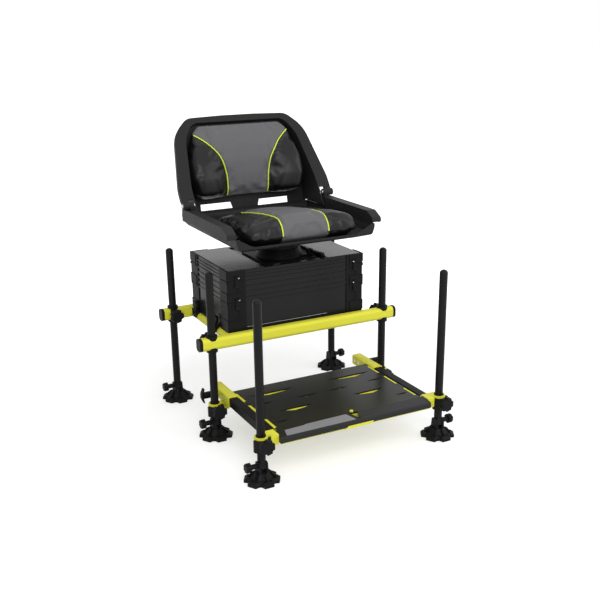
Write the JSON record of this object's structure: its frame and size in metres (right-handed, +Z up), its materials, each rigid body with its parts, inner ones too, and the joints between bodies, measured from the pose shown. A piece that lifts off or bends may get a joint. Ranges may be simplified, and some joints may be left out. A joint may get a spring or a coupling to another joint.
{
  "type": "fishing seat box",
  "caption": "Folding padded seat on a swivel over a tackle box with hinged trays, on adjustable legs with tilting feet and a sliding footplate.",
  "frame": {"origin": "middle of the bounding box, on the floor", "axes": "+Z up, +X to the right as seen from the front (the footplate side), +Y to the rear, where the backrest is"},
  "size_m": [0.7246, 0.868, 0.9509],
  "materials": {
    "lime_paint": "satin powder coat",
    "black_moulding": "matt",
    "tray_black": "satin",
    "gloss_panel": "gloss",
    "bright_steel": "satin",
    "black_casting": "satin",
    "shell_plastic": "fine texture",
    "seat_cover": "coated fabric",
    "leg_tube": "satin anodised"
  },
  "bodies": {
    "frame": {"front_rail": "lime_paint", "back_rail": "lime_paint", "rail_end_caps": "black_moulding", "side_rails": "lime_paint", "leg_clamp_fittings": "black_moulding", "slide_arms": "lime_paint", "clip_brackets": "black_moulding"},
    "box": {"lower_tray": "tray_black", "lower_tray_corners": "black_moulding"},
    "upper_tray": {"upper_tray": "tray_black", "upper_tray_corners": "black_moulding"},
    "lid": {"lid_frame": "tray_black", "lid_corners": "black_moulding", "lid_panels": "gloss_panel", "swivel_base": "black_casting"},
    "seat": {"swivel_plate": "black_casting", "seat_shell": "shell_plastic", "seat_cushion": "seat_cover", "backrest_hinge_bolts": "bright_steel"},
    "backrest": {"backrest_shell": "shell_plastic", "back_cushion": "seat_cover"},
    "footplate": {"footplate_beams": "black_casting", "footplate_tray": "lime_paint", "footplate_deck": "gloss_panel", "footplate_lip": "black_casting", "footplate_corners": "lime_paint", "footplate_clamp_fittings": "black_moulding"},
    "swivel_lever": {"swivel_lever": "black_casting"},
    "tray_latches": {"tray_latches": "black_moulding"},
    "lid_latches": {"lid_latches": "black_moulding"},
    "left_box_clips": {"left_box_clips": "black_moulding"},
    "right_box_clips": {"right_box_clips": "black_moulding"},
    "left_wing_knob": {"left_wing_knob": "black_moulding"},
    "right_wing_knob": {"right_wing_knob": "black_moulding"},
    "front_left_leg": {"front_left_leg": "leg_tube"},
    "front_right_leg": {"front_right_leg": "leg_tube"},
    "back_left_leg": {"back_left_leg": "leg_tube"},
    "back_right_leg": {"back_right_leg": "leg_tube"},
    "footplate_left_leg": {"footplate_left_leg": "leg_tube"},
    "footplate_right_leg": {"footplate_right_leg": "leg_tube"},
    "front_left_foot": {"front_left_foot": "black_moulding"},
    "front_right_foot": {"front_right_foot": "black_moulding"},
    "back_left_foot": {"back_left_foot": "black_moulding"},
    "back_right_foot": {"back_right_foot": "black_moulding"},
    "footplate_left_foot": {"footplate_left_foot": "black_moulding"},
    "footplate_right_foot": {"footplate_right_foot": "black_moulding"},
    "front_left_rail_knob": {"front_left_rail_knob": "black_moulding"},
    "front_right_rail_knob": {"front_right_rail_knob": "black_moulding"},
    "back_left_rail_knob": {"back_left_rail_knob": "black_moulding"},
    "back_right_rail_knob": {"back_right_rail_knob": "black_moulding"},
    "front_left_arm_knob": {"front_left_arm_knob": "black_moulding"},
    "front_right_arm_knob": {"front_right_arm_knob": "black_moulding"},
    "footplate_left_corner_knob": {"footplate_left_corner_knob": "black_moulding"},
    "footplate_right_corner_knob": {"footplate_right_corner_knob": "black_moulding"},
    "front_left_foot_knob": {"front_left_foot_knob": "black_moulding"},
    "front_right_foot_knob": {"front_right_foot_knob": "black_moulding"},
    "back_left_foot_knob": {"back_left_foot_knob": "black_moulding"},
    "back_right_foot_knob": {"back_right_foot_knob": "black_moulding"},
    "footplate_left_foot_knob": {"footplate_left_foot_knob": "black_moulding"},
    "footplate_right_foot_knob": {"footplate_right_foot_knob": "black_moulding"}
  },
  "joints": [
    {"name": "lid_hinge", "type": "hinge", "parent": "upper_tray", "child": "lid", "pos_m": [0, 0.29302, 0.498], "axis": [-1, 0, 0], "range_deg": [0, 80]},
    {"name": "tray_hinge", "type": "hinge", "parent": "box", "child": "upper_tray", "pos_m": [0, 0.29302, 0.427], "axis": [-1, 0, 0], "range_deg": [0, 80]},
    {"name": "seat_swivel", "type": "hinge", "parent": "lid", "child": "seat", "pos_m": [0, 0.10902, 0.553], "axis": [0, 0, 1], "continuous": true},
    {"name": "backrest_fold", "type": "hinge", "parent": "seat", "child": "backrest", "pos_m": [0, 0.24602, 0.6875], "axis": [1, 0, 0], "range_deg": [0, 100]},
    {"name": "footplate_slide", "type": "slide", "parent": "frame", "child": "footplate", "axis": [0, 1, 0], "range_m": [0, 0.17]},
    {"name": "box_lift", "type": "slide", "parent": "frame", "child": "box", "axis": [0, 0, 1], "range_m": [0, 0.12]},
    {"name": "swivel_lever_turn", "type": "hinge", "parent": "lid", "child": "swivel_lever", "pos_m": [0.088, 0.05902, 0.521], "axis": [0, 0, 1], "range_deg": [-20, 20]},
    {"name": "front_left_leg_slide", "type": "slide", "parent": "frame", "child": "front_left_leg", "axis": [0, 0, 1], "range_m": [-0.18, 0.012]},
    {"name": "front_right_leg_slide", "type": "slide", "parent": "frame", "child": "front_right_leg", "axis": [0, 0, 1], "range_m": [-0.18, 0.012]},
    {"name": "back_left_leg_slide", "type": "slide", "parent": "frame", "child": "back_left_leg", "axis": [0, 0, 1], "range_m": [-0.18, 0.18]},
    {"name": "back_right_leg_slide", "type": "slide", "parent": "frame", "child": "back_right_leg", "axis": [0, 0, 1], "range_m": [-0.18, 0.18]},
    {"name": "footplate_left_leg_slide", "type": "slide", "parent": "footplate", "child": "footplate_left_leg", "axis": [0, 0, 1], "range_m": [-0.36, 0.03]},
    {"name": "footplate_right_leg_slide", "type": "slide", "parent": "footplate", "child": "footplate_right_leg", "axis": [0, 0, 1], "range_m": [-0.36, 0.03]},
    {"name": "front_left_foot_tilt", "type": "hinge", "parent": "front_left_leg", "child": "front_left_foot", "pos_m": [-0.31, -0.04098, 0.05], "axis": [1, 0, 0], "range_deg": [-25, 25]},
    {"name": "front_right_foot_tilt", "type": "hinge", "parent": "front_right_leg", "child": "front_right_foot", "pos_m": [0.31, -0.04098, 0.05], "axis": [1, 0, 0], "range_deg": [-25, 25]},
    {"name": "back_left_foot_tilt", "type": "hinge", "parent": "back_left_leg", "child": "back_left_foot", "pos_m": [-0.31, 0.30902, 0.05], "axis": [1, 0, 0], "range_deg": [-25, 25]},
    {"name": "back_right_foot_tilt", "type": "hinge", "parent": "back_right_leg", "child": "back_right_foot", "pos_m": [0.31, 0.30902, 0.05], "axis": [1, 0, 0], "range_deg": [-25, 25]},
    {"name": "footplate_left_foot_tilt", "type": "hinge", "parent": "footplate_left_leg", "child": "footplate_left_foot", "pos_m": [-0.308, -0.38198, 0.05], "axis": [1, 0, 0], "range_deg": [-25, 25]},
    {"name": "footplate_right_foot_tilt", "type": "hinge", "parent": "footplate_right_leg", "child": "footplate_right_foot", "pos_m": [0.308, -0.38198, 0.05], "axis": [1, 0, 0], "range_deg": [-25, 25]},
    {"name": "left_wing_knob_turn", "type": "hinge", "parent": "frame", "child": "left_wing_knob", "pos_m": [-0.333, 0.00102, 0.127], "axis": [-1, 0, 0], "continuous": true},
    {"name": "right_wing_knob_turn", "type": "hinge", "parent": "frame", "child": "right_wing_knob", "pos_m": [0.333, 0.00102, 0.127], "axis": [1, 0, 0], "continuous": true},
    {"name": "lid_latches_swing", "type": "hinge", "parent": "lid", "child": "lid_latches", "pos_m": [0, -0.02648, 0.5075], "axis": [-1, 0, 0], "range_deg": [0, 90]},
    {"name": "tray_latches_swing", "type": "hinge", "parent": "upper_tray", "child": "tray_latches", "pos_m": [0, -0.02648, 0.4365], "axis": [-1, 0, 0], "range_deg": [0, 90]},
    {"name": "left_box_clips_swing", "type": "hinge", "parent": "frame", "child": "left_box_clips", "pos_m": [-0.256, -0.04098, 0.336], "axis": [0, -1, 0], "range_deg": [0, 80]},
    {"name": "right_box_clips_swing", "type": "hinge", "parent": "frame", "child": "right_box_clips", "pos_m": [0.256, -0.04098, 0.336], "axis": [0, 1, 0], "range_deg": [0, 80]},
    {"name": "front_left_rail_knob_turn", "type": "hinge", "parent": "frame", "child": "front_left_rail_knob", "pos_m": [-0.31, -0.00698, 0.314], "axis": [0, 1, 0], "continuous": true},
    {"name": "front_right_rail_knob_turn", "type": "hinge", "parent": "frame", "child": "front_right_rail_knob", "pos_m": [0.31, -0.00698, 0.314], "axis": [0, 1, 0], "continuous": true},
    {"name": "back_left_rail_knob_turn", "type": "hinge", "parent": "frame", "child": "back_left_rail_knob", "pos_m": [-0.31, 0.27502, 0.314], "axis": [0, -1, 0], "continuous": true},
    {"name": "back_right_rail_knob_turn", "type": "hinge", "parent": "frame", "child": "back_right_rail_knob", "pos_m": [0.31, 0.27502, 0.314], "axis": [0, -1, 0], "continuous": true},
    {"name": "front_left_arm_knob_turn", "type": "hinge", "parent": "frame", "child": "front_left_arm_knob", "pos_m": [-0.31, -0.07498, 0.097], "axis": [0, -1, 0], "continuous": true},
    {"name": "front_right_arm_knob_turn", "type": "hinge", "parent": "frame", "child": "front_right_arm_knob", "pos_m": [0.31, -0.07498, 0.097], "axis": [0, -1, 0], "continuous": true},
    {"name": "footplate_left_corner_knob_turn", "type": "hinge", "parent": "footplate", "child": "footplate_left_corner_knob", "pos_m": [-0.308, -0.41598, 0.1225], "axis": [0, -1, 0], "continuous": true},
    {"name": "footplate_right_corner_knob_turn", "type": "hinge", "parent": "footplate", "child": "footplate_right_corner_knob", "pos_m": [0.308, -0.41598, 0.1225], "axis": [0, -1, 0], "continuous": true},
    {"name": "front_left_foot_knob_turn", "type": "hinge", "parent": "front_left_leg", "child": "front_left_foot_knob", "pos_m": [-0.346, -0.04098, 0.05], "axis": [-1, 0, 0], "continuous": true},
    {"name": "front_right_foot_knob_turn", "type": "hinge", "parent": "front_right_leg", "child": "front_right_foot_knob", "pos_m": [0.346, -0.04098, 0.05], "axis": [1, 0, 0], "continuous": true},
    {"name": "back_left_foot_knob_turn", "type": "hinge", "parent": "back_left_leg", "child": "back_left_foot_knob", "pos_m": [-0.346, 0.30902, 0.05], "axis": [-1, 0, 0], "continuous": true},
    {"name": "back_right_foot_knob_turn", "type": "hinge", "parent": "back_right_leg", "child": "back_right_foot_knob", "pos_m": [0.346, 0.30902, 0.05], "axis": [1, 0, 0], "continuous": true},
    {"name": "footplate_left_foot_knob_turn", "type": "hinge", "parent": "footplate_left_leg", "child": "footplate_left_foot_knob", "pos_m": [-0.344, -0.38198, 0.05], "axis": [-1, 0, 0], "continuous": true},
    {"name": "footplate_right_foot_knob_turn", "type": "hinge", "parent": "footplate_right_leg", "child": "footplate_right_foot_knob", "pos_m": [0.344, -0.38198, 0.05], "axis": [1, 0, 0], "continuous": true}
  ]
}
